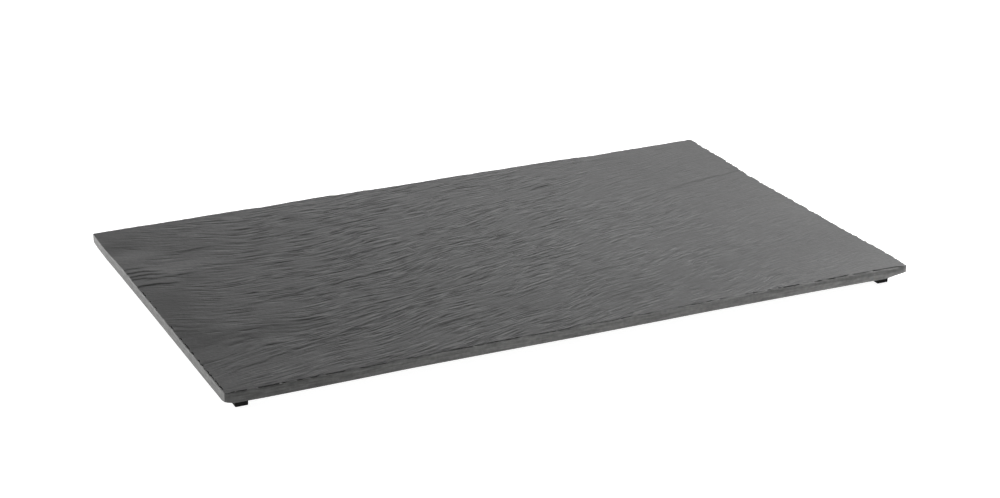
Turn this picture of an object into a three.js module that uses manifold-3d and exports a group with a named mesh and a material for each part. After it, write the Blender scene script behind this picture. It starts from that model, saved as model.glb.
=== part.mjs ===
// A slate serving slab: one riven stone slab standing on four small rubber feet.
//
// Units are millimetres and +Z is up. The origin lies on the table, below the middle of the slab.
// +X runs along the slab's long side and -Y is the front.
//
// The slab is a loft of closed rings, one above the other. Its wall was cut straight at the foot and
// dressed by hand at the top, so the upper rings wander in from the wall while the lower ones don't.
// Each foot is a loft of rounded squares.

import * as THREE from "three";
import { mergeVertices } from "three/addons/utils/BufferGeometryUtils.js";
import Module from "manifold-3d";

// The slab
const LENGTH = 530;
const WIDTH = 325;
const THICKNESS = 7.5;
const RING_STEP = 9; // between the points of a ring, along a straight side
const CORNER_RADIUS = 3;
const CORNER_STEPS = 3;
const LOWER_ARRIS = 0.7; // the small break between the wall and the underside

// The dressed upper edge: how far the arris wanders in from the wall, and over what lengths
const WANDER_DEPTH = 2.0;
const WANDER_WAVES = [
  { length: 233, share: 0.5 },
  { length: 71, share: 0.3 },
  { length: 26, share: 0.2 },
];
const DRESSED_HEIGHT = 2.2; // the band below the top face that dressing reaches

// The feet: square pads, a little smaller at the floor
const FOOT_HEIGHT = 5.5;
const FOOT_SIDE = 9.2;
const FOOT_TAPER = 0.2; // taken off each side between the slab and the floor edge
const FOOT_EDGE = 0.4; // the break round the floor face
const FOOT_CORNER_RADIUS = 0.9;

// The corners, anticlockwise from the front left. Each foot was stuck on by hand, so its place varies.
// spall is the piece knocked off the slab's lower corner: along X, along Y and up the corner.
const CORNERS = [
  { name: "front_left", side: [-1, -1], foot: [252.4, 154.3], spall: [15, 6, 2.0] },
  { name: "front_right", side: [1, -1], foot: [249.3, 153.9], spall: [14, 6, 3.6] },
  { name: "rear_right", side: [1, 1], foot: [251.0, 154.6], spall: [9, 7, 1.6] },
  { name: "rear_left", side: [-1, 1], foot: [250.6, 153.8], spall: [12, 5, 2.2] },
];

const TOP = FOOT_HEIGHT + THICKNESS;

const SLATE = new THREE.MeshStandardMaterial({ color: 0x5e5f60, roughness: 0.55, metalness: 0 });
const RUBBER = new THREE.MeshStandardMaterial({ color: 0x161616, roughness: 0.6, metalness: 0 });

const wasm = await Module();
wasm.setup();

// Closes a stack of rings, lowest first, into one body. Each ring is an anticlockwise list of
// Vector2 at a height, and all of them have the same number of points.
function loft(rings) {
  const count = rings[0].points.length;
  const position = rings.flatMap(({ points, z }) => points.flatMap((p) => [p.x, p.y, z]));
  const index = [];
  for (let level = 0; level + 1 < rings.length; level++) {
    for (let i = 0; i < count; i++) {
      const a = level * count + i;
      const b = level * count + ((i + 1) % count);
      index.push(a, b, b + count, a, b + count, a + count);
    }
  }
  const last = (rings.length - 1) * count;
  for (const [a, b, c] of THREE.ShapeUtils.triangulateShape(rings[0].points, [])) {
    index.push(a, c, b);
  }
  for (const [a, b, c] of THREE.ShapeUtils.triangulateShape(rings.at(-1).points, [])) {
    index.push(last + a, last + b, last + c);
  }
  const geometry = new THREE.BufferGeometry();
  geometry.setAttribute("position", new THREE.Float32BufferAttribute(position, 3));
  geometry.setIndex(index);
  return geometry;
}

// An anticlockwise rounded rectangle. Each point also holds the way out of the shape there, the
// number of its side and how far along that side it is, so that a ring can be moved in from it.
function roundedRectangle(length, width, radius, cornerSteps, sideSteps) {
  const half = [length / 2 - radius, width / 2 - radius];
  const found = [];
  for (let side = 0; side < 4; side++) {
    const turn = (side * Math.PI) / 2;
    const along = new THREE.Vector2(Math.cos(turn), Math.sin(turn));
    const out = new THREE.Vector2(along.y, -along.x);
    const [run, reach] = side % 2 ? [half[1], half[0]] : half;
    const steps = sideSteps(2 * run);
    for (let i = 0; i < steps; i++) {
      const s = -run + (2 * run * i) / steps;
      const point = along.clone().multiplyScalar(s).addScaledVector(out, reach + radius);
      found.push({ point, out, side, s: s + run });
    }
    const centre = along.clone().multiplyScalar(run).addScaledVector(out, reach);
    for (let i = 0; i < cornerSteps; i++) {
      const bend = turn - Math.PI / 2 + ((Math.PI / 2) * i) / cornerSteps;
      const way = new THREE.Vector2(Math.cos(bend), Math.sin(bend));
      found.push({ point: centre.clone().addScaledVector(way, radius), out: way, side, s: 2 * run });
    }
  }
  return found;
}

function movedIn(outline, inset) {
  return outline.map((o) => o.point.clone().addScaledVector(o.out, -inset(o)));
}

// How far in the dressed arris is at a point of the outline, from 0 to WANDER_DEPTH.
function wander({ side, s }) {
  const wave = WANDER_WAVES.reduce(
    (sum, { length, share }, i) =>
      sum + share * Math.sin((2 * Math.PI * s) / length + 1.9 * side + 2.3 * i),
    0,
  );
  return (WANDER_DEPTH * (1 + wave)) / 2;
}

function solidOf(geometry) {
  const merged = mergeVertices(geometry);
  return new wasm.Manifold(
    new wasm.Mesh({
      numProp: 3,
      vertProperties: merged.attributes.position.array,
      triVerts: new Uint32Array(merged.index.array),
    }),
  );
}

function geometryOf(solid) {
  const mesh = solid.getMesh();
  const geometry = new THREE.BufferGeometry();
  geometry.setAttribute("position", new THREE.BufferAttribute(mesh.vertProperties, 3));
  geometry.setIndex(new THREE.BufferAttribute(mesh.triVerts, 1));
  return geometry;
}

// The tetrahedron that a spall takes away: its slanting face cuts the three edges of the slab's
// lower corner at the spall's distances, and its other faces stand clear outside the slab.
function spallCutter({ side, spall }) {
  const CLEAR = 4;
  const [signX, signY] = side;
  const spread = 1 + spall.reduce((sum, reach) => sum + CLEAR / reach, 0);
  const apex = new THREE.Vector3(
    signX * (LENGTH / 2 + CLEAR),
    signY * (WIDTH / 2 + CLEAR),
    FOOT_HEIGHT - CLEAR,
  );
  const ways = [new THREE.Vector3(-signX, 0, 0), new THREE.Vector3(0, -signY, 0), new THREE.Vector3(0, 0, 1)];
  const tips = ways.map((way, i) => apex.clone().addScaledVector(way, spall[i] * spread));
  const [a, b, c] = signX * signY > 0 ? tips : [tips[1], tips[0], tips[2]];
  const geometry = new THREE.BufferGeometry().setFromPoints([apex, a, b, c]);
  geometry.setIndex([0, 2, 1, 0, 3, 2, 0, 1, 3, 1, 2, 3]);
  return solidOf(geometry);
}

function slab() {
  const sideSteps = (run) => Math.round(run / RING_STEP);
  const outline = roundedRectangle(LENGTH, WIDTH, CORNER_RADIUS, CORNER_STEPS, sideSteps);
  const rings = [
    { z: FOOT_HEIGHT, points: movedIn(outline, () => LOWER_ARRIS) },
    { z: FOOT_HEIGHT + LOWER_ARRIS, points: movedIn(outline, () => 0) },
    { z: TOP - DRESSED_HEIGHT, points: movedIn(outline, () => 0) },
    { z: TOP - DRESSED_HEIGHT / 3, points: movedIn(outline, (o) => wander(o) / 3) },
    { z: TOP, points: movedIn(outline, wander) },
  ];
  const whole = solidOf(loft(rings));
  return geometryOf(CORNERS.reduce((solid, corner) => solid.subtract(spallCutter(corner)), whole));
}

function foot() {
  const oneStep = () => 1;
  const outline = roundedRectangle(FOOT_SIDE, FOOT_SIDE, FOOT_CORNER_RADIUS, 4, oneStep);
  return loft([
    { z: 0, points: movedIn(outline, () => FOOT_TAPER + FOOT_EDGE) },
    { z: FOOT_EDGE, points: movedIn(outline, () => FOOT_TAPER) },
    { z: FOOT_HEIGHT, points: movedIn(outline, () => 0) },
  ]);
}

function named(name, geometry, material) {
  const mesh = new THREE.Mesh(geometry, material);
  mesh.name = name;
  return mesh;
}

const part = new THREE.Group();
part.add(named("slate_slab", slab(), SLATE));

const footGeometry = foot();
for (const { name, side, foot: place } of CORNERS) {
  const pad = named(`foot_${name}`, footGeometry, RUBBER);
  pad.position.set(side[0] * place[0], side[1] * place[1], 0);
  part.add(pad);
}

export default part;
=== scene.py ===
"""A slate serving slab: one riven stone, dressed at its edges, on four small rubber feet.

Each face of the slab is a grid, its dressed edges are a stack of rings, and a Geometry Nodes tree
raises the riven relief on them. Sizes are in millimetres, and become metres as a mesh is written.
"""

import math

import bpy
import numpy as np
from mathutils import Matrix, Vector


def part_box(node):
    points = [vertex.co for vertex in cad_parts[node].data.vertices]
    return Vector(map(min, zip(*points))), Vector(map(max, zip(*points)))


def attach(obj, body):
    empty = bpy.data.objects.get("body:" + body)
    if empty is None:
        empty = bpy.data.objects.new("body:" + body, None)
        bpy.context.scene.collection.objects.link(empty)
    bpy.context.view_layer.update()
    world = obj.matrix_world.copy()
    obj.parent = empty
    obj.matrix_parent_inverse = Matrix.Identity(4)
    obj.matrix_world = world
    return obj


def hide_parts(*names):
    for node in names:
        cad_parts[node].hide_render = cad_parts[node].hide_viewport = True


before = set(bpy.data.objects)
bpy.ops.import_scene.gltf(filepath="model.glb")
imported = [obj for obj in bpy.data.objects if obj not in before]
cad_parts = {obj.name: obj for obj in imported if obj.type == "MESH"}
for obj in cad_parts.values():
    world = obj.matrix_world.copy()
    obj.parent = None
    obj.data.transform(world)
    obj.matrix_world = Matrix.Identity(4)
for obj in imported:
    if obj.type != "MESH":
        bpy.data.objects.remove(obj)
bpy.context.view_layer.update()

MM = 0.001
SIDES = 4
RNG = np.random.default_rng(53)

# ---------------------------------------------------------------- sizes

SLAB_LOW, SLAB_HIGH = (np.array(corner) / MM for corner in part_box("slate_slab"))
HALF = (SLAB_HIGH - SLAB_LOW)[:2] / 2
TOP = SLAB_HIGH[2]
UNDERSIDE = SLAB_LOW[2]
CORNER_RADIUS = 1.1
MARGIN = 5.5  # width of the band round each face that belongs to the rings
RING_STEP = 1.4
ROW_STEP = 0.98  # between the rows of points on the upper face, which follow the grain
COLUMN_STEPS = (2.0, 3.2)  # between its columns, at the left end and at the right
GRAIN_LINES = (-290, 240)  # the numbers of the grain's first and last lines across the slab

# What the riven relief is made of. Heights are from the hollows to the ridges.
RELIEF = {
    "Swell height": 0.8,
    "Swell length": 105.0,
    "Wave height": 0.07,
    "Wave length": 90.0,
    "Wave spacing": 15.0,
    "Grain height": 0.56,
    "Grain length": 18.0,
    "Grain spacing": 2.5,
    "Groove depth": 0.20,
    "Groove length": 36.0,
    "Groove spacing": 3.2,
    "Step height": 0.06,
    "Step length": 50.0,
    "Step spacing": 6.5,
    "Calm patches": 30.0,
    "Wall roughness": 0.16,
    "Seed": 4.0,
}

# Ledges where a flake came away: both ends of the line and how far the face drops at it
LEDGES = [
    ((-152, -19), (-64, -3), 0.38),
    ((-205, -27), (-138, -16), 0.26),
    ((-264, -137), (-168, -106), 0.27),
    ((-178, -110), (-112, -84), 0.30),
    ((-108, -122), (-48, -108), 0.32),
    ((-160, -34), (-96, -22), 0.20),
    ((-128, 26), (-43, 45), 0.26),
    ((-222, 93), (-185, 96), 0.30),
    ((-20, 81), (38, 93), 0.26),
    ((8, 44), (42, 56), 0.22),
    ((82, 106), (112, 112), 0.34),
    ((96, 40), (127, 47), 0.30),
    ((108, 30), (130, 34), 0.24),
    ((36, -79), (87, -68), 0.30),
    ((20, -36), (62, -26), 0.24),
    ((-66, -62), (-6, -44), 0.22),
    ((-30, -92), (24, -80), 0.22),
    ((30, -128), (96, -108), 0.20),
    ((180, 60), (292, 80), 0.25),
    ((138, 45), (212, 67), 0.18),
    ((-268, 75), (-244, 73), 0.36),
    ((-268, 67), (-236, 64), 0.52),
    ((-268, 60), (-234, 57), 0.50),
    ((-268, 54), (-246, 52), 0.40),
    ((-262, 49), (-212, 50), 0.34),
    ((-268, 40), (-228, 36), 0.50),
    ((150, 66), (235, -24), 0.09),
    ((118, 40), (250, -84), 0.10),
    ((140, -20), (222, -120), 0.09),
    ((205, 128), (262, 34), 0.08),
]

# Where the front arris is cracked, along x, and where the left arris is chipped, along y
FRONT_CRACKS = [
    (-264.5, -260),
    (-258, -251),
    (-242, -240),
    (-238.5, -229),
    (-226, -224),
    (-215.5, -212),
    (-206, -201.5),
    (-195, -183),
    (-170, -153),
    (-136, -126),
    (-122, -88),
    (-86, -52),
    (-42, -25),
    (-22, -14),
    (3, 24),
    (28, 35),
    (41, 51),
    (74, 77),
    (86, 93.5),
    (97, 100),
    (163, 175),
    (190, 194),
    (200, 206),
    (209, 217),
    (222, 235),
    (238, 263),
]
LEFT_CHIPS = [
    (-158, -152),
    (-149, -142),
    (-138, -131),
    (-128, -124),
    (-116, -113),
    (-107.5, -104.5),
    (-94.5, -90.5),
    (-85, -74),
    (-67.5, -64.5),
    (-47, -40),
    (-5.5, -2.5),
    (7.5, 10.5),
    (20.5, 23.5),
    (25.5, 28.5),
]

# ---------------------------------------------------------------- colours

SLATE = "#454545"
BRUISED_SLATE = "#595958"
RUBBER = "#0a0a0a"
WORN_RUBBER = "#161616"
FLOOR = "#f2f2f2"

# ---------------------------------------------------------------- helpers


def linear(hex_colour):
    """An sRGB colour, such as "#4a4b4c", as linear red, green and blue."""
    channels = [int(hex_colour[i : i + 2], 16) / 255 for i in (1, 3, 5)]
    return [c / 12.92 if c <= 0.04045 else ((c + 0.055) / 1.055) ** 2.4 for c in channels]


def add(tree, kind, inputs=None, **settings):
    """Adds a node. Each input is a plain value, a node, for its first output, or one of its outputs."""
    node = tree.nodes.new(kind)
    for name, value in settings.items():
        setattr(node, name, value)
    for key, value in (inputs or {}).items():
        if isinstance(value, bpy.types.Node):
            value = value.outputs[0]
        if isinstance(value, bpy.types.NodeSocket):
            tree.links.new(value, node.inputs[key])
        else:
            node.inputs[key].default_value = value
    return node


def smooth(low, high, value):
    """0 below low, 1 above high, and a smooth ramp between them."""
    t = np.clip((value - low) / (high - low), 0, 1)
    return t * t * (3 - 2 * t)


def ripple(along, length):
    """Smooth random wandering between -1 and 1, which turns about once in every length."""
    place = (along - along.min()) / length
    knots = RNG.uniform(-1, 1, int(place.max()) + 2)
    i = place.astype(int)
    t = smooth(0, 1, place - i)
    return knots[i] * (1 - t) + knots[i + 1] * t


def object_of(name, points, faces):
    """An object whose mesh has these points, given in millimetres."""
    mesh = bpy.data.meshes.new(name)
    mesh.from_pydata((np.asarray(points) * MM).tolist(), [], faces)
    mesh.shade_smooth()
    thing = bpy.data.objects.new(name, mesh)
    bpy.context.scene.collection.objects.link(thing)
    return thing


class Outline:
    """A rounded rectangle, anticlockwise from the front left, which can be taken at any inset."""

    SHARPEST = 0.5  # the least corner radius that an inset leaves

    def __init__(self, half, radius, step, bends):
        self.half = np.asarray(half, float)
        self.radius = radius
        corners = np.array([(-1, -1), (1, -1), (1, 1), (-1, 1)], float)
        reach, way, side, turn = [], [], [], []
        for k in range(4):
            start, end = corners[k], corners[(k + 1) % 4]
            count = max(1, round(2 * (self.half[k % 2] - radius) / step))
            shares = (np.arange(count) + 0.5) / count
            for share in shares:
                reach.append(start + (end - start) * share)
                way.append(k * math.pi / 2)
                turn.append(k + share * 0.999)
            for i in range(bends + 1):
                reach.append(end)
                way.append((k + i / bends) * math.pi / 2)
                turn.append(k + 0.9991 + 0.0008 * i / bends)
            side += [k] * (count + bends + 1)
        self.reach = np.array(reach)
        self.out = np.c_[np.sin(way), -np.cos(way)]
        self.side = np.array(side)
        self.turn = np.array(turn)  # how far round each point is: a side counts as 1
        self.bow = np.zeros(len(turn))  # how far out of true each point is

    def inset(self, depth):
        depth = (depth - self.bow)[:, None]
        radius = np.maximum(self.radius - depth, self.SHARPEST)
        return self.reach * (self.half - depth - radius) + radius * self.out


def turn_at(turns, i):
    """A loop's turn at its point i: a whole round on once it is back at the start, then never again."""
    if i > len(turns):
        return math.inf
    return turns[i] if i < len(turns) else turns[0] + SIDES


def zipped(outer, inner, outer_turn, inner_turn):
    """Triangles that close the gap between two anticlockwise loops of point numbers."""
    faces = []
    i = j = 0
    while i < len(outer) or j < len(inner):
        a, b = outer[i % len(outer)], inner[j % len(inner)]
        if turn_at(outer_turn, i + 1) <= turn_at(inner_turn, j + 1):
            faces.append((a, outer[(i + 1) % len(outer)], b))
            i += 1
        else:
            faces.append((a, inner[(j + 1) % len(inner)], b))
            j += 1
    return faces


def spaced(low, high, step_at):
    """Places from low to high, each about step_at(place) from the next."""
    fine = np.linspace(low, high, 4000)
    passed = np.cumsum(1 / step_at(fine)) * (fine[1] - fine[0])
    return np.interp(np.linspace(passed[0], passed[-1], int(passed[-1])), passed, fine)


def ruled(xs, ys, reach, first):
    """A rectangle's points and upward faces, and its edge as an anticlockwise loop with its turns.

    ys has a row for each line across the rectangle, and a column for each of xs. Lines that leave
    the rectangle are cut off at its front and back edges."""
    inside = np.abs(ys) < reach - 0.3
    number = first + np.cumsum(inside).reshape(ys.shape) - 1
    front = first + inside.sum() + np.arange(len(xs))
    back = front + len(xs)
    number = np.where(inside, number, np.where(ys < 0, front, back))
    number = np.vstack([front, number, back])
    points = np.vstack(
        [
            np.c_[np.broadcast_to(xs, ys.shape)[inside], ys[inside]],
            np.c_[xs, np.full(len(xs), -reach)],
            np.c_[xs, np.full(len(xs), reach)],
        ]
    )
    corners = (number[:-1, :-1], number[:-1, 1:], number[1:, 1:], number[1:, :-1])
    quads = np.stack([corner.ravel() for corner in corners], 1).tolist()
    faces = [tuple(dict.fromkeys(quad)) for quad in quads]  # a cut-off corner repeats a point
    faces = [face for face in faces if len(face) > 2]
    left, right = (list(dict.fromkeys(number[:, k].tolist())) for k in (0, -1))
    loop = [*front[:-1], *right[:-1], *back[:0:-1], *left[:0:-1]]
    across = (xs - xs[0]) / (xs[-1] - xs[0])
    up_left, up_right = (
        (points[np.array(side) - first, 1] / reach + 1) / 2 for side in (left, right)
    )
    turn = [*across[:-1], *(1 + up_right[:-1]), *(3 - across[:0:-1]), *(4 - up_left[:0:-1])]
    return points, faces, loop, turn


# ---------------------------------------------------------------- the stone's grain


def grain_line(x, number):
    """The y at x of a line of the grain, which is known by its number, about its y at the middle.

    The lines climb to the right, and less at the back. At the left they come down first, in a bowl
    that stops at a crease near the front."""
    climb = 0.19 - 0.16 * smooth(60, 170, number)
    steeper = 0.09 * np.maximum(x + 160, 0) - 20
    bowl = 52 * np.clip((-70 - x) / 195, 0, 1) ** 2.4
    return number + climb * (x - 60) + steeper + bowl * smooth(-34, -8, number)


def grain(x, y):
    """Places along the grain and across it, which is the number of the grain's line there."""
    low, high = np.full_like(x, -400.0), np.full_like(x, 500.0)
    for _ in range(30):  # halves the range each time, down to nothing
        middle = (low + high) / 2
        above = grain_line(x, middle) > y
        low, high = np.where(above, low, middle), np.where(above, middle, high)
    weave = 1.5 * np.sin(x / 19 + y / 31) + 0.9 * np.sin(x / 11 - y / 23 + 2)
    return x + 0.3 * y, middle + weave


def line_step(number):
    """The step in line number that keeps the rows of points close where the grain spreads."""
    spread = sum(grain_line(x, number + 1) - grain_line(x, number) for x in (-230, -150, -40, 60)) / 4
    return ROW_STEP / spread


def ledges(x, y):
    """The height that the ledges add, and the painted shade along the foot of each.

    A ledge drops to the front, and dies out behind."""
    height, crevice_shade = np.zeros_like(x), np.zeros_like(x)
    for start, end, drop in LEDGES:
        start, end = np.array(start, float), np.array(end, float)
        length = np.linalg.norm(end - start)
        way = (end - start) / length
        along = (x - start[0]) * way[0] + (y - start[1]) * way[1]
        behind = (y - start[1]) * way[0] - (x - start[0]) * way[1]
        near = (along > 0) & (along < length) & (np.abs(behind) < 30)
        u = along[near] / length
        wander = 0.8 * np.sin(along[near] / 4.1 + drop * 40) + 0.5 * np.sin(along[near] / 1.9 + drop * 90)
        v = behind[near] + wander - 3 * u * (1 - u)
        fade = smooth(0, 0.45, 1 - u)
        if start[0] > -266:
            fade = smooth(0, 0.25, u) * smooth(0, 0.3, 1 - u)
        height[near] += drop * fade * smooth(-0.7, 0.5, v) * np.exp(-np.maximum(v, 0) / 9)
        # painted shade along the foot of the ledge, where the face drops
        dark = fade * max(drop - 0.12, 0) / 0.30 * np.exp(-(((v + 0.3) / 0.7) ** 2))
        crevice_shade[near] = np.maximum(crevice_shade[near], dark)
    return height, crevice_shade


# How strong the fine grain is along the slab: it fades to nearly smooth stone at the right
GRAIN_PLACES = (-265, -150, -98, 0, 100, 165, 265)
GRAIN_STRENGTHS = (0.50, 1.18, 1.50, 1.32, 1.16, 0.62, 0.09)


def streakiness(x, y):
    """How strong the fine grain is at a place, a little less at the back."""
    return np.interp(x, GRAIN_PLACES, GRAIN_STRENGTHS) * (1 - 0.12 * smooth(70, 140, y))


# Broad hollows and rises: the middle, the reach along x and y, the height, how much paler the stone
# is there, partly its own tone and partly painted light and shade for the swells' slopes and the
# sheen toward the right, and how much smoother
SWELLS = [
    ((-262, 150), (26, 30), -0.55, -0.04, 0.0),
    ((-256, 124), (20, 14), 0.0, -0.50, 0.3),
    ((-212, 102), (22, 13), 0.0, -0.24, 0.2),
    ((-252, 95), (22, 13), 0.50, 0.30, 0.85),
    ((-222, 70), (30, 12), -0.20, 0.42, 0.85),
    ((-252, 4), (22, 26), 0.20, -0.36, 0.7),
    ((-258, -62), (24, 34), 0.0, -0.44, 0.2),
    ((-200, -79), (56, 10), -0.35, -0.32, 0.0),
    ((-215, -140), (46, 16), 0.0, 0.24, 0.0),
    ((-178, 38), (16, 16), 0.0, 0.18, 0.4),
    ((215, -60), (60, 50), 0.30, 0.0, 0.0),
    ((165, 80), (70, 36), -0.20, -0.05, 0.3),
    ((-112, 150), (110, 18), 0.0, 0.26, 0.2),
    ((-60, -95), (60, 30), 0.0, -0.06, 0.0),
    ((30, -118), (150, 26), 0.0, -0.08, 0.0),
    ((80, -118), (80, 34), 0.0, 0.0, 0.32),
    ((258, 0), (20, 60), 0.0, 0.12, 0.0),
    ((180, -10), (80, 150), 0.0, 0.05, 0.0),
    ((250, -110), (24, 40), 0.0, -0.10, 0.0),
]


def swells(x, y):
    """The height that the broad hollows and rises add, how pale the stone is, partly as painted light and
    shade, and how rough.
    """
    height, pale, rough = np.zeros_like(x), np.ones_like(x), np.ones_like(x)
    for middle, reach, rise, paler, smoother in SWELLS:
        share = np.exp(-(((x - middle[0]) / reach[0]) ** 2) - ((y - middle[1]) / reach[1]) ** 2)
        height += rise * share
        pale += paler * share
        rough *= 1 - smoother * share
    return height, pale, rough


# Painted light and shade on the dressed walls, as how pale each is: the front wall along the slab,
# darker at its left end and lighter toward the right as the light falls, and the left wall, painted
# paler for the light on that end, from its near end to its far one
FRONT_PLACES = (-265, -190, -140, -66, 60, 150, 215, 265)
FRONT_PAINTED_LIGHT = (0.60, 0.68, 0.88, 1.06, 1.03, 1.10, 1.34, 1.38)
LEFT_PLACES = (-160, -80, -28, 75, 120, 162)
LEFT_PAINTED_LIGHT = (1.17, 1.13, 1.03, 1.03, 1.0, 1.25)


def wall_painted_light(x, y):
    """How pale the dressed wall is, as painted light and shade. The right and back walls take the front's
    tone at their x.
    """
    front = np.interp(x, FRONT_PLACES, FRONT_PAINTED_LIGHT)
    left = np.interp(y, LEFT_PLACES, LEFT_PAINTED_LIGHT)
    return np.where(HALF[0] + x < HALF[1] + y, left, front)


# ---------------------------------------------------------------- the slab's edges


def spans(along, pairs, ramp=0.8):
    """1 inside each of the pairs of places and 0 outside, with a short ramp at their ends."""
    inside = np.zeros_like(along)
    for start, end in pairs:
        middle, half = (start + end) / 2, (end - start) / 2
        inside = np.maximum(inside, 1 - smooth(half - ramp / 2, half + ramp, np.abs(along - middle)))
    return inside


def flakes(along, many, width, depth):
    """How deep the small flakes along an arris reach: many of them, each at a random place."""
    reach = np.zeros_like(along)
    for _ in range(many):
        centre = RNG.uniform(along.min(), along.max())
        half = RNG.uniform(*width) / 2
        deep = RNG.uniform(*depth)
        reach = np.maximum(reach, deep * np.sqrt(np.clip(1 - ((along - centre) / half) ** 2, 0, 1)))
    return reach


# How far out of true each side is, as (place, outward): along x for the front and the back, and
# along y for the ends
FRONT_BOW = [(-265, 0.9), (-240, 1.5), (-200, 1.1), (-165, 0.4), (-135, -0.3), (-80, -0.2), (0, 0.3)]
FRONT_BOW += [(60, 0.0), (100, -0.4), (140, -0.1), (185, 0.3), (225, 0.9), (265, 2.0)]
RIGHT_BOW = [(-162, 2.2), (-150, 2.7), (-108, 2.5), (-88, 1.6), (-70, 0.7), (-35, 0.9), (20, 0.9)]
RIGHT_BOW += [(40, 0.3), (60, 0.1), (80, 0.9), (96, 2.0), (120, 2.0), (162, 2.8)]
BACK_BOW = [(-265, 0.4), (-240, 0.5), (-210, -0.5), (-164, 0.3), (-144, 1.2), (-123, 0.4), (-83, 2.0)]
BACK_BOW += [(-42, 1.5), (-20, 0.6), (23, 1.2), (44, 2.0), (135, 2.7), (155, 2.4), (170, 0.7)]
BACK_BOW += [(206, 1.7), (240, 2.1), (265, 2.2)]
LEFT_BOW = [(-162, 0), (-120, 0.2), (0, 0.3), (40, 0.45), (90, 0.7), (125, 1.0), (150, 0.7)]
LEFT_BOW += [(162, 0.4)]


def arris(outline):
    """At each point of the ring: how far in the upper arris is, how far the face drops at it, how
    deep the crack along it is, and how deep the rounded lip below it is."""
    x, y = (outline.reach * outline.half).T
    front, right, back, left = (outline.side == k for k in range(4))
    inset, drop, crack, lip = (np.zeros_like(x) for _ in range(4))
    for part, along, bow in (
        (front, x, FRONT_BOW),
        (right, y, RIGHT_BOW),
        (back, x, BACK_BOW),
        (left, y, LEFT_BOW),
    ):
        outline.bow[part] = np.interp(along[part], *zip(*bow))

    bevelled = smooth(110, 250, x[front])
    inset[front] = 1.5 + 0.3 * ripple(x[front], 70) + 0.2 * ripple(x[front], 11) + 1.1 * bevelled
    chips = flakes(x[front], 60, (2, 5.5), (0.3, 1.4)) * smooth(60, 130, x[front])
    inset[front] += 0.5 * chips + 1.2 * smooth(150, 225, -x[front])
    crack[front] = 1.5 * spans(x[front], FRONT_CRACKS) + 1.3 * chips
    crack[front] *= 1 - 0.65 * smooth(185, 225, x[front])
    drop[front] = 0.10 + 0.08 * ripple(x[front], 9) + 0.10 * crack[front]
    lip[front] = 0.7 + 0.2 * ripple(x[front], 30) + 1.4 * bevelled

    outline.bow[right] -= flakes(y[right], 70, (2.5, 8), (0.3, 1.3)) - 0.3
    inset[right] = 0.35 + 0.1 * ripple(y[right], 9)
    drop[right] = 0.08 + 0.06 * ripple(y[right], 5)
    lip[right] = 0.6 + 0.3 * ripple(y[right], 9)

    inset[back] = 0.1 + 0.15 * ripple(x[back], 12) + flakes(x[back], 50, (3, 14), (0.3, 1.0))
    drop[back] = 0.06 + 0.05 * ripple(x[back], 6)
    lip[back] = 0.6 + 0.2 * ripple(x[back], 12)

    crack[left] = 1.5 * spans(y[left], LEFT_CHIPS)
    inset[left] = 0.45 + 0.1 * ripple(y[left], 60) + 0.1 * ripple(y[left], 5) + 0.9 * crack[left]
    drop[left] = 0.05 + 0.04 * ripple(y[left], 7) + 0.1 * crack[left]
    lip[left] = 0.3 + 0.1 * ripple(y[left], 9)

    to_corner = outline.half[0] - np.abs(x) + outline.half[1] - np.abs(y)
    near = 1 - smooth(0, 5, to_corner)
    inset, lip = (value + (0.45 - value) * near for value in (inset, lip))
    return np.maximum(inset, 0.25), np.maximum(drop, 0.03), crack, np.maximum(lip, 0.25)


def edge_rings(outline):
    """The rings from the upper face down to the underside, as (inset, height, lift, outward share),
    and the depth of the crack along the arris.

    lift is how much of the face's relief a ring takes, and the outward share how much of the dressed
    wall's roughness."""
    inset, drop, crack, lip = arris(outline)
    bed = TOP - drop
    wall_top = bed - 1.3 * lip
    wall_foot = UNDERSIDE + 0.20
    rings = [(MARGIN, TOP, 1, 0)]
    rings += [(inset + d, TOP, 1, 0) for d in (2.6, 1.5, 0.6, 0)]
    rings += [
        (inset * 0.97, bed - 0.6 * crack, 1, 0),
        (inset * 0.90, bed - 1.0 * crack, 1, 0),
        (inset * 0.64, bed - 0.9 * crack, 1, 0),
        (inset * 0.52, bed - 0.04 * lip, 1, 0.2),
        (inset * 0.32, bed - 0.24 * lip, 0.9, 0.4),
        (inset * 0.13, bed - 0.64 * lip, 0.6, 0.7),
        (inset * 0.02, wall_top, 0.3, 0.9),
    ]
    for share in (0.25, 0.5, 0.75, 1.0):
        rings.append((0.06 * share**2, wall_top + (wall_foot - wall_top) * share, 0, 1))
    rings += [
        (0.10, UNDERSIDE + 0.08, 0, 0.7),
        (0.20, UNDERSIDE + 0.01, 0, 0.5),
        (0.50, UNDERSIDE, 0, 0.2),
        (3.0, UNDERSIDE, 0, 0),
        (MARGIN, UNDERSIDE, 0, 0),
    ]
    return rings, crack


# A piece knocked off each lower corner: along the long side, along the short side and up
SPALLS = {
    (-1, -1): (6.0, 7.0, 1.3),
    (1, -1): (13.0, 4.0, 1.8),
    (1, 1): (9.0, 7.0, 1.6),
    (-1, 1): (6.0, 4.0, 1.0),
}


def spall(points):
    """Moves what is outside a spall's slanting face onto it."""
    for (side_x, side_y), reach in SPALLS.items():
        from_corner = np.c_[
            HALF[0] - side_x * points[:, 0],
            HALF[1] - side_y * points[:, 1],
            points[:, 2] - UNDERSIDE,
        ]
        slant = 1 / np.array(reach)
        short = np.maximum(1 - from_corner @ slant, 0)
        from_corner += (short / (slant @ slant))[:, None] * slant
        points = np.c_[
            side_x * (HALF[0] - from_corner[:, 0]),
            side_y * (HALF[1] - from_corner[:, 1]),
            from_corner[:, 2] + UNDERSIDE,
        ]
    return points


# ---------------------------------------------------------------- materials


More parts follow.
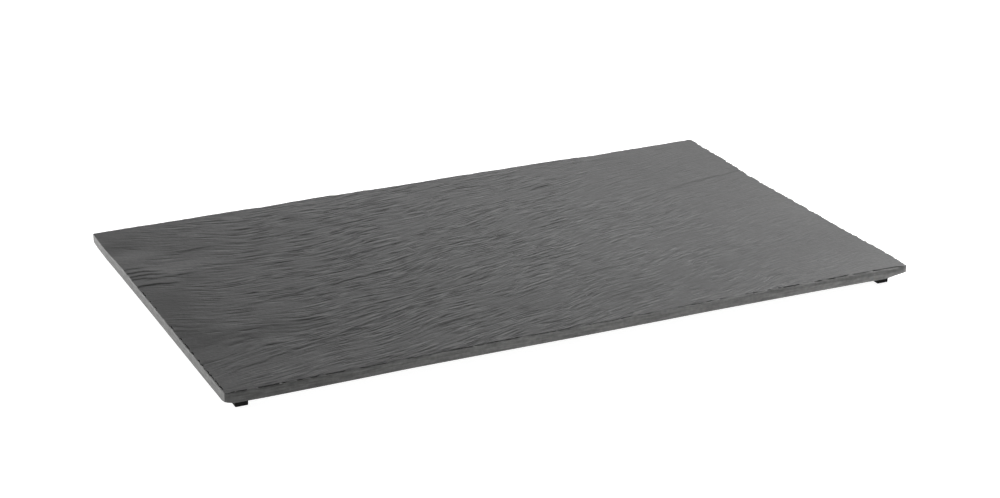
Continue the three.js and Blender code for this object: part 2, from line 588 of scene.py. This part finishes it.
def principled(name, **inputs):
    """A new material and its shader, whose inputs are given with _ in place of a space."""
    material = bpy.data.materials.new(name)
    material.use_nodes = True
    shader = material.node_tree.nodes["Principled BSDF"]
    for key, value in inputs.items():
        shader.inputs[key.replace("_", " ")].default_value = value
    return material, shader


def riven_slate():
    """Riven slate: split along its cleavage by hand and never polished. It is a dark neutral grey with
    a dull sheen at low angles, a fine relief drawn out along the grain, and a sparse mica glint.
    Its colour also carries painted shade in the fissures, grooves and ledge crevices, painted
    light and shade in part of its streaks, and painted light and shade in broad patches."""
    material, shader = principled("riven_slate", IOR=1.5)
    tree = material.node_tree
    place = add(tree, "ShaderNodeTexCoord").outputs["Object"]
    along_grain = add(tree, "ShaderNodeAttribute", attribute_name="grain").outputs["Vector"]
    strength = add(tree, "ShaderNodeAttribute", attribute_name="busy").outputs["Fac"]
    # painted shade: how much darker the stone is painted at the foot of each ledge and in the cracks
    # along the arrises
    crevice_shade = add(tree, "ShaderNodeAttribute", attribute_name="crevice_shade").outputs["Fac"]
    # painted shade: how low a point lies in the grooves and the fine relief, painted darker there
    hollow_shade = add(tree, "ShaderNodeAttribute", attribute_name="hollow_shade").outputs["Fac"]
    cloud = add(tree, "ShaderNodeTexNoise", {"Vector": place, "Scale": 1 / (70 * MM), "Detail": 3.0})
    # Tonal streaks along the grain; their strong darkening and lightening is partly the stone's own and
    # partly painted shade and light of the fine relief
    streak_size = (17 * MM, 2.2 * MM, 10 * MM)
    at = add(tree, "ShaderNodeVectorMath", {0: along_grain, 1: streak_size}, operation="DIVIDE")
    streak = add(tree, "ShaderNodeTexNoise", {"Vector": at, "Scale": 1.0, "Detail": 0.8})
    mica = add(tree, "ShaderNodeTexNoise", {"Vector": place, "Scale": 1 / (2.4 * MM), "Detail": 3.0})
    # Thin fissures along the grain, bumped down; their darkening of the colour is painted shade in the
    # fissures
    rift_size = (26 * MM, 2.4 * MM, 10 * MM)
    at = add(tree, "ShaderNodeVectorMath", {0: along_grain, 1: rift_size}, operation="DIVIDE")
    rift = add(tree, "ShaderNodeTexNoise", {"Vector": at, "Scale": 1.0, "Detail": 1.5})
    opening = {"Value": rift, "From Min": 0.57, "From Max": 0.64}
    rift = add(tree, "ShaderNodeMapRange", opening, interpolation_type="SMOOTHSTEP")
    rift = add(tree, "ShaderNodeMath", {0: rift, 1: strength}, operation="MULTIPLY")
    streak = add(tree, "ShaderNodeMath", {0: streak, 1: 0.5}, operation="SUBTRACT")
    streak = add(tree, "ShaderNodeMath", {0: streak, 1: strength}, operation="MULTIPLY")
    # the stone's tone in broad patches, partly its own and partly painted light and shade of the swells
    # and of the sheen toward the right
    shade = add(tree, "ShaderNodeAttribute", attribute_name="pale").outputs["Fac"]
    for pattern, low, high, change in (
        (cloud, 0.3, 0.7, 0.04),
        (streak, -0.2, 0.2, 0.58),
        (mica, 0.3, 0.7, 0.12),
        (rift, 1.0, -1.0, 0.36),
        (crevice_shade, 1.0, -1.0, 0.62),
        (hollow_shade, 0.45, -0.20, 0.10),
    ):
        change_range = {"From Min": low, "From Max": high, "To Min": 1 - change, "To Max": 1 + change}
        level = add(tree, "ShaderNodeMapRange", {"Value": pattern, **change_range})
        shade = add(tree, "ShaderNodeMath", {0: level, 1: shade}, operation="MULTIPLY")
    colour = add(
        tree, "ShaderNodeVectorMath", {0: linear(SLATE), "Scale": shade}, operation="SCALE"
    )
    tree.links.new(colour.outputs[0], shader.inputs["Base Color"])
    rough_range = {"From Min": -0.2, "From Max": 0.2, "To Min": 0.50, "To Max": 0.60}
    rough = add(tree, "ShaderNodeMapRange", {"Value": streak, **rough_range})
    tree.links.new(rough.outputs[0], shader.inputs["Roughness"])
    height = add(tree, "ShaderNodeMath", {0: mica, 1: 0.25, 2: streak}, operation="MULTIPLY_ADD")
    height = add(tree, "ShaderNodeMath", {0: rift, 1: -0.4, 2: height}, operation="MULTIPLY_ADD")
    bump = add(tree, "ShaderNodeBump", {"Height": height, "Distance": 0.62 * MM, "Strength": 1.0})
    tree.links.new(bump.outputs[0], shader.inputs["Normal"])
    return material


def dressed_slate():
    """Dressed slate: the sawn wall and the arris that a hammer broke. The bruised stone is a little
    paler and duller than the split face, with a faint speckle and the slate's layers lying level.
    Its tone along the walls is painted light and shade, and its lip is paler, partly bruised stone
    and partly painted light, with a painted shade on it at the front right."""
    material, shader = principled("dressed_slate_edge", IOR=1.5, Roughness=0.72)
    tree = material.node_tree
    place = add(tree, "ShaderNodeTexCoord").outputs["Object"]
    layer_size = (12 * MM, 12 * MM, 1.1 * MM)
    layer_place = add(
        tree, "ShaderNodeVectorMath", {0: place, 1: layer_size}, operation="DIVIDE"
    )
    layers = add(
        tree, "ShaderNodeTexNoise", {"Vector": layer_place, "Scale": 1.0, "Detail": 3.0}
    )
    grit = add(tree, "ShaderNodeTexNoise", {"Vector": place, "Scale": 1 / (2.8 * MM), "Detail": 3.0})
    # the lip rings: paler, partly bruised stone and partly painted light, and painted darker as shade at
    # the front right
    bruise_and_shading = add(tree, "ShaderNodeAttribute", attribute_name="bruise_and_shading").outputs["Fac"]
    shade = add(tree, "ShaderNodeMath", {0: bruise_and_shading, 1: 0.22, 2: 1.0}, operation="MULTIPLY_ADD")
    # painted light and shade on the walls: darker at the left of the front, lighter to the right, and
    # paler on the left end
    pale = add(tree, "ShaderNodeAttribute", attribute_name="pale").outputs["Fac"]
    shade = add(tree, "ShaderNodeMath", {0: shade, 1: pale}, operation="MULTIPLY")
    for pattern, change in ((layers, 0.30), (grit, 0.16)):
        change_range = {"From Min": 0.3, "From Max": 0.7, "To Min": 1 - change, "To Max": 1 + change}
        level = add(tree, "ShaderNodeMapRange", {"Value": pattern, **change_range})
        shade = add(tree, "ShaderNodeMath", {0: level, 1: shade}, operation="MULTIPLY")
    colour = add(
        tree, "ShaderNodeVectorMath", {0: linear(BRUISED_SLATE), "Scale": shade}, operation="SCALE"
    )
    tree.links.new(colour.outputs[0], shader.inputs["Base Color"])
    height = add(tree, "ShaderNodeMath", {0: grit, 1: layers}, operation="ADD")
    bump = add(tree, "ShaderNodeBump", {"Height": height, "Distance": 0.15 * MM, "Strength": 1.0})
    tree.links.new(bump.outputs[0], shader.inputs["Normal"])
    return material


def moulded_rubber():
    """Moulded nitrile rubber: near black and matt, with the fine pebble that a blasted mould leaves."""
    material, shader = principled("moulded_rubber", IOR=1.52, Roughness=0.8, Specular_IOR_Level=0.12)
    tree = material.node_tree
    place = add(tree, "ShaderNodeTexCoord").outputs["Object"]
    bloom = add(tree, "ShaderNodeTexNoise", {"Vector": place, "Scale": 1 / (4 * MM), "Detail": 3.0})
    colour = add(
        tree,
        "ShaderNodeMix",
        {0: bloom, 6: [*linear(RUBBER), 1], 7: [*linear(WORN_RUBBER), 1]},
        data_type="RGBA",
    )
    tree.links.new(colour.outputs[2], shader.inputs["Base Color"])
    pebble = add(tree, "ShaderNodeTexNoise", {"Vector": place, "Scale": 1 / (0.5 * MM), "Detail": 1.0})
    bump = add(tree, "ShaderNodeBump", {"Height": pebble, "Distance": 0.06 * MM, "Strength": 1.0})
    tree.links.new(bump.outputs[0], shader.inputs["Normal"])
    return material


# ---------------------------------------------------------------- the slab


def relief_tree():
    """The tree that raises the relief: swells, waves and grain along the stone's own lines, grooves
    between them, terraces where thin leaves of slate broke off, and the roughness of the wall."""
    tree = bpy.data.node_groups.new("riven_relief", "GeometryNodeTree")
    tree.is_modifier = True
    sockets = tree.interface
    sockets.new_socket("Geometry", in_out="INPUT", socket_type="NodeSocketGeometry")
    for name in RELIEF:
        sockets.new_socket(name, in_out="INPUT", socket_type="NodeSocketFloat")
    for name in ("Face finish", "Edge finish"):
        sockets.new_socket(name, in_out="INPUT", socket_type="NodeSocketMaterial")
    sockets.new_socket("Geometry", in_out="OUTPUT", socket_type="NodeSocketGeometry")
    size = add(tree, "NodeGroupInput").outputs

    place = add(tree, "GeometryNodeInputPosition")
    named = {
        name: add(tree, "GeometryNodeInputNamedAttribute", {"Name": name}, data_type=kind)
        for name, kind in (
            ("grain", "FLOAT_VECTOR"),
            ("outward", "FLOAT_VECTOR"),
            ("lift", "FLOAT"),
            ("streakiness", "FLOAT"),
            ("ledge", "FLOAT"),
            ("wall", "FLOAT"),
        )
    }

    def maths(operation, *values, **settings):
        values = dict(enumerate(values))
        return add(tree, "ShaderNodeMath", values, operation=operation, **settings)

    def noise(where, along, across, detail):
        span = add(tree, "ShaderNodeCombineXYZ", {0: along, 1: across, 2: 1.0})
        at = add(tree, "ShaderNodeVectorMath", {0: where, 1: span}, operation="DIVIDE")
        settings = {"Vector": at, "W": size["Seed"], "Scale": 1.0, "Detail": detail}
        return add(tree, "ShaderNodeTexNoise", settings, noise_dimensions="4D")

    swell = noise(place, size["Swell length"], size["Swell length"], 1.0)
    wave = noise(named["grain"], size["Wave length"], size["Wave spacing"], 2.0)
    fine = noise(named["grain"], size["Grain length"], size["Grain spacing"], 1.0)
    groove = noise(named["grain"], size["Groove length"], size["Groove spacing"], 2.0)
    leaves = noise(named["grain"], size["Step length"], size["Step spacing"], 3.0)
    patches = noise(place, size["Calm patches"], size["Calm patches"], 2.0)

    off_line = maths("ABSOLUTE", maths("SUBTRACT", groove, 0.5))
    cut = maths("SUBTRACT", 0.35, maths("MULTIPLY", off_line, 7.0, use_clamp=True))
    levels = maths("MULTIPLY", leaves, 9.0)
    rise = {"Value": maths("FRACT", levels), "From Min": 0.70, "From Max": 0.95}
    edge = add(tree, "ShaderNodeMapRange", rise, interpolation_type="SMOOTHSTEP")
    terrace = maths("SUBTRACT", maths("ADD", maths("FLOOR", levels), edge), 4.5)
    rough = maths("MULTIPLY", maths("SUBTRACT", fine, 0.5), size["Grain height"])
    rough = maths("MULTIPLY_ADD", cut, maths("MULTIPLY", size["Groove depth"], -1.0), rough)
    rough = maths("MULTIPLY_ADD", terrace, size["Step height"], rough)
    busy = {"Value": patches, "From Min": 0.40, "From Max": 0.54, "To Min": 0.32, "To Max": 1.06}
    busy = add(tree, "ShaderNodeMapRange", busy)
    busy = maths("MULTIPLY", busy, named["streakiness"])
    rough = maths("MULTIPLY_ADD", maths("SUBTRACT", wave, 0.5), size["Wave height"], rough)
    height = maths("MULTIPLY_ADD", rough, busy, named["ledge"])
    height = maths("MULTIPLY_ADD", maths("SUBTRACT", swell, 0.5), size["Swell height"], height)
    up = add(tree, "ShaderNodeCombineXYZ", {2: maths("MULTIPLY", height, named["lift"])})
    # painted shade: how low a point lies in a groove or in the fine relief, kept for the material to
    # paint darker
    hollow_shade = maths("MULTIPLY_ADD", cut, 1.2, maths("SUBTRACT", 0.5, fine))
    hollow_shade = maths("MULTIPLY", hollow_shade, busy)

    layers = add(
        tree, "ShaderNodeVectorMath", {0: place, 1: (7 * MM, 7 * MM, 1.1 * MM)}, operation="DIVIDE"
    )
    hewn = {"Vector": layers, "W": size["Seed"], "Scale": 1.0, "Detail": 2.0}
    hewn = add(tree, "ShaderNodeTexNoise", hewn, noise_dimensions="4D")
    pits = maths("MULTIPLY", maths("SUBTRACT", hewn, 0.6), size["Wall roughness"])
    out = add(
        tree, "ShaderNodeVectorMath", {0: named["outward"], "Scale": pits}, operation="SCALE"
    )
    move = add(tree, "ShaderNodeVectorMath", {0: up, 1: out}, operation="ADD")

    moved = add(tree, "GeometryNodeSetPosition", {"Geometry": size["Geometry"], "Offset": move})
    for name, value in (("hollow_shade", hollow_shade), ("busy", busy)):
        marked = {"Geometry": moved, "Name": name, "Value": value}
        settings = {"data_type": "FLOAT", "domain": "POINT"}
        moved = add(tree, "GeometryNodeStoreNamedAttribute", marked, **settings)
    whole = add(tree, "GeometryNodeRealizeInstances", {"Geometry": moved})
    faced = add(tree, "GeometryNodeSetMaterial", {"Geometry": whole, "Material": size["Face finish"]})
    on_wall = add(
        tree, "FunctionNodeCompare", {0: named["wall"], 1: 0.4}, operation="GREATER_THAN"
    )
    edge_finish = {"Geometry": faced, "Selection": on_wall, "Material": size["Edge finish"]}
    edged = add(tree, "GeometryNodeSetMaterial", edge_finish)
    add(tree, "NodeGroupOutput", {"Geometry": edged})
    return tree


# Which of the rings, counted from the upper face, belong to what
CRACK_RINGS = range(5, 8)
LIP_RINGS = range(8, 12)
DRESSED_RINGS = range(8, 19)


def slab_base():
    """The slab before its relief, as points, faces and the values at each point that shape the rest."""
    outline = Outline(HALF, CORNER_RADIUS, RING_STEP, bends=4)
    count = len(outline.reach)
    points, lift, outward, wall, bruise_and_shading, crack_shade = [], [], [], [], [], []
    rings, crack = edge_rings(outline)
    for number, (inset, z, raised, share) in enumerate(rings):
        z = np.broadcast_to(z, count)
        points.append(np.c_[outline.inset(inset), z])
        lift.append(np.full(count, raised))
        outward.append(np.c_[outline.out * share, np.zeros(count)])
        wall.append(np.full(count, float(number in DRESSED_RINGS)))
        bruise_and_shading.append(np.full(count, float(number in LIP_RINGS)))
        x = points[-1][:, 0]
        # the crack rings are painted darker, as shade in the crack, less toward the right end
        fade = 1 - 0.5 * smooth(100, 180, x) - 0.3 * smooth(195, 225, x)
        dark = np.clip(0.6 * crack, 0, 1) * fade
        crack_shade.append(dark if number in CRACK_RINGS else np.zeros(count))
    ring_count = len(points)

    faces = []
    for level in range(ring_count - 1):
        upper, lower = level * count, (level + 1) * count
        for i in range(count):
            after = (i + 1) % count
            faces.append((upper + i, lower + i, lower + after, upper + after))

    inner = HALF - MARGIN - 1.5
    columns = spaced(
        -inner[0],
        inner[0],
        lambda x: COLUMN_STEPS[0] + (COLUMN_STEPS[1] - COLUMN_STEPS[0]) * smooth(-100, 220, x),
    )
    lines = spaced(*GRAIN_LINES, line_step)
    level = np.linspace(-inner[1], inner[1], 32)[1:-1]  # the underside is plain, so it gets few
    for z, raised, xs, ys in (
        (TOP, 1.0, columns, grain_line(columns, lines[:, None])),
        (UNDERSIDE, 0.0, columns[::5], np.repeat(level[:, None], len(columns[::5]), axis=1)),
    ):
        first = sum(map(len, points))
        flat, squares, loop, turn = ruled(xs, ys, inner[1], first)
        ring = 0 if raised else (ring_count - 1) * count
        band = zipped(range(ring, ring + count), loop, outline.turn, turn)
        found = squares + band
        faces += found if raised else [face[::-1] for face in found]
        points.append(np.c_[flat, np.full(len(flat), z)])
        lift.append(np.full(len(flat), raised))
        outward.append(np.zeros((len(flat), 3)))
        wall.append(np.zeros(len(flat)))
        bruise_and_shading.append(np.zeros(len(flat)))
        crack_shade.append(np.zeros(len(flat)))
    points = spall(np.concatenate(points))
    x, y = points[:, 0], points[:, 1]
    ledge, crevice_shade = ledges(x, y)
    swell, pale, rough = swells(x, y)
    wall = np.concatenate(wall)
    values = {
        "grain": np.c_[np.c_[grain(x, y)] * MM, np.zeros(len(x))],
        "outward": np.concatenate(outward),
        "lift": np.concatenate(lift),
        "streakiness": streakiness(x, y) * rough,
        "ledge": (ledge + swell) * MM,
        "crevice_shade": np.maximum(crevice_shade, np.concatenate(crack_shade)),
        # the top's tone, partly painted light and shade, and on the walls their painted light and shade
        "pale": np.where(wall > 0.5, wall_painted_light(x, y), pale),
        "wall": wall,
        # the lip's paleness, partly bruised stone and partly painted light, turns into a painted shade
        # toward the right end of the front
        "bruise_and_shading": np.concatenate(bruise_and_shading) * np.where(y < -150, 1 - 2.0 * smooth(100, 170, x), 1),
    }
    return points, faces, values


def slate_slab(face_finish, edge_finish):
    """The slab: its base mesh with the relief raised on it and the two finishes put on."""
    points, faces, values = slab_base()
    slab = object_of("riven_slate_slab", points, [tuple(map(int, face)) for face in faces])
    for name, value in values.items():
        vector = value.ndim == 2
        layer = slab.data.attributes.new(name, "FLOAT_VECTOR" if vector else "FLOAT", "POINT")
        layer.data.foreach_set("vector" if vector else "value", value.astype(np.float32).ravel())
    relief = slab.modifiers.new("riven_relief", "NODES")
    relief.node_group = relief_tree()
    finishes = {"Face finish": face_finish, "Edge finish": edge_finish}
    for socket in relief.node_group.interface.items_tree:
        if socket.name in RELIEF:
            scale = 1 if socket.name == "Seed" else MM
            relief[socket.identifier] = RELIEF[socket.name] * scale
        elif socket.name in finishes:
            relief[socket.identifier] = finishes[socket.name]
    depsgraph = bpy.context.evaluated_depsgraph_get()
    shaped = bpy.data.meshes.new_from_object(
        slab.evaluated_get(depsgraph), preserve_all_data_layers=True, depsgraph=depsgraph
    )
    slab.modifiers.remove(relief)
    slab.data = shaped
    shaped.set_sharp_from_angle(angle=math.radians(50))
    return slab


# ---------------------------------------------------------------- the feet

# A foot's profile from the floor up: height as a share of the whole, and inset
FOOT_PROFILE = [
    (0.00, 0.55),
    (0.01, 0.30),
    (0.05, 0.12),
    (0.12, 0.04),
    (0.35, 0.00),
    (0.70, -0.06),
    (0.92, -0.10),
    (0.98, -0.06),
    (1.00, 0.20),
]


def rubber_foot(node, finish):
    """A square pad with rounded edges, spread a little where it is pressed against the slab."""
    low, high = (np.array(corner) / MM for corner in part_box(node))
    half = (high - low)[:2] / 2
    outline = Outline(half, 0.6, step=1.0, bends=4)
    count = len(outline.reach)
    rings = [
        np.c_[outline.inset(inset), np.full(count, low[2] + share * (high[2] - low[2]))]
        for share, inset in FOOT_PROFILE
    ]
    faces = []
    for level in range(len(rings) - 1):
        lower, upper = level * count, (level + 1) * count
        for i in range(count):
            after = (i + 1) % count
            faces.append((lower + i, lower + after, upper + after, upper + i))
    last = (len(rings) - 1) * count
    faces.append(tuple(range(count))[::-1])
    faces.append(tuple(range(last, last + count)))
    points = np.concatenate(rings)
    points[:, :2] += (low + high)[:2] / 2
    foot = object_of(f"rubber_{node}", points, faces)
    foot.data.materials.append(finish)
    foot.data.set_sharp_from_angle(angle=math.radians(50))
    return foot


# ---------------------------------------------------------------- studio

CAMERA_AIM = (6.4, -3.4, TOP)
CAMERA_TURN = 24.81  # degrees round to the left of the front
CAMERA_RISE = 21.28
CAMERA_ROLL = -0.17
CAMERA_DISTANCE = 1658.0
LENS = 78.45
SENSOR = 36.0


def toward(turn, rise):
    """The direction from the slab to a place turn degrees left of the front and rise degrees up."""
    turn, rise = math.radians(turn), math.radians(rise)
    flat = math.cos(rise)
    return Vector((-math.sin(turn) * flat, -math.cos(turn) * flat, math.sin(rise)))


def camera():
    """A long lens, from the left of the front and a little above."""
    data = bpy.data.cameras.new("camera")
    data.lens = LENS
    data.sensor_width = SENSOR
    data.clip_end = 60
    eye = bpy.data.objects.new("camera", data)
    bpy.context.scene.collection.objects.link(eye)
    away = toward(CAMERA_TURN, CAMERA_RISE)
    eye.location = Vector(CAMERA_AIM) * MM + away * CAMERA_DISTANCE * MM
    facing = away.to_track_quat("Z", "Y")
    eye.rotation_euler = facing.to_euler()
    eye.rotation_euler.rotate_axis("Z", math.radians(CAMERA_ROLL))
    bpy.context.scene.camera = eye


def softbox(name, turn, rise, distance, size, power):
    """A square soft light that faces the slab."""
    data = bpy.data.lights.new(name, "AREA")
    data.size = size
    data.energy = power
    lamp = bpy.data.objects.new(name, data)
    bpy.context.scene.collection.objects.link(lamp)
    away = toward(turn, rise)
    lamp.location = away * distance
    lamp.rotation_euler = away.to_track_quat("Z", "Y").to_euler()


def studio():
    """Low lights from behind that graze the relief, fill from the right and front, and a dim low sky."""
    softbox("rake_left_back", 140, 12, 1.5, 0.6, 22.4)
    softbox("rake_back", 170, 10, 1.5, 0.6, 0.6)
    softbox("sheen_back", 205, 12, 2.5, 0.8, 3.6)
    softbox("fill_right", 270, 30, 1.0, 0.6, 17)
    softbox("fill_front", 0, 35, 1.5, 0.8, 1.0)
    world = bpy.data.worlds.new("studio")
    world.use_nodes = True
    bpy.context.scene.world = world
    tree = world.node_tree
    ray = add(tree, "ShaderNodeTexCoord").outputs["Generated"]
    height = add(tree, "ShaderNodeSeparateXYZ", {0: ray}).outputs["Z"]
    dome = {"Value": height, "From Min": 0.15, "From Max": 0.40, "To Min": 1.0, "To Max": 0.0}
    dome = add(tree, "ShaderNodeMapRange", dome)
    tree.links.new(dome.outputs[0], tree.nodes["Background"].inputs["Strength"])
    tree.nodes["Background"].inputs["Color"].default_value = (1, 1, 1, 1)


def floor():
    """A pale sheet lit from below as well, which keeps the shadow under the slab light."""
    mesh = bpy.data.meshes.new("floor")
    reach = 12.0
    corners = [(-reach, -reach, 0), (reach, -reach, 0), (reach, reach, 0), (-reach, reach, 0)]
    mesh.from_pydata(corners, [], [(0, 1, 2, 3)])
    sheet = bpy.data.objects.new("floor", mesh)
    bpy.context.scene.collection.objects.link(sheet)
    material, shader = principled("matt_backlit_acrylic", Roughness=0.9)
    shader.inputs["Base Color"].default_value = [*(0.5 * c for c in linear(FLOOR)), 1]
    shader.inputs["Emission Color"].default_value = [1, 1, 1, 1]
    shader.inputs["Emission Strength"].default_value = 0.93
    shader.inputs["Specular IOR Level"].default_value = 0.0
    mesh.materials.append(material)


# ---------------------------------------------------------------- making it all

camera()
studio()
floor()

slab = slate_slab(riven_slate(), dressed_slate())
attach(slab, "root")
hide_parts("slate_slab")

rubber = moulded_rubber()
for node in ("foot_front_left", "foot_front_right", "foot_rear_left", "foot_rear_right"):
    foot = rubber_foot(node, rubber)
    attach(foot, "root")
    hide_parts(node)

bpy.context.scene.view_settings.view_transform = "Standard"
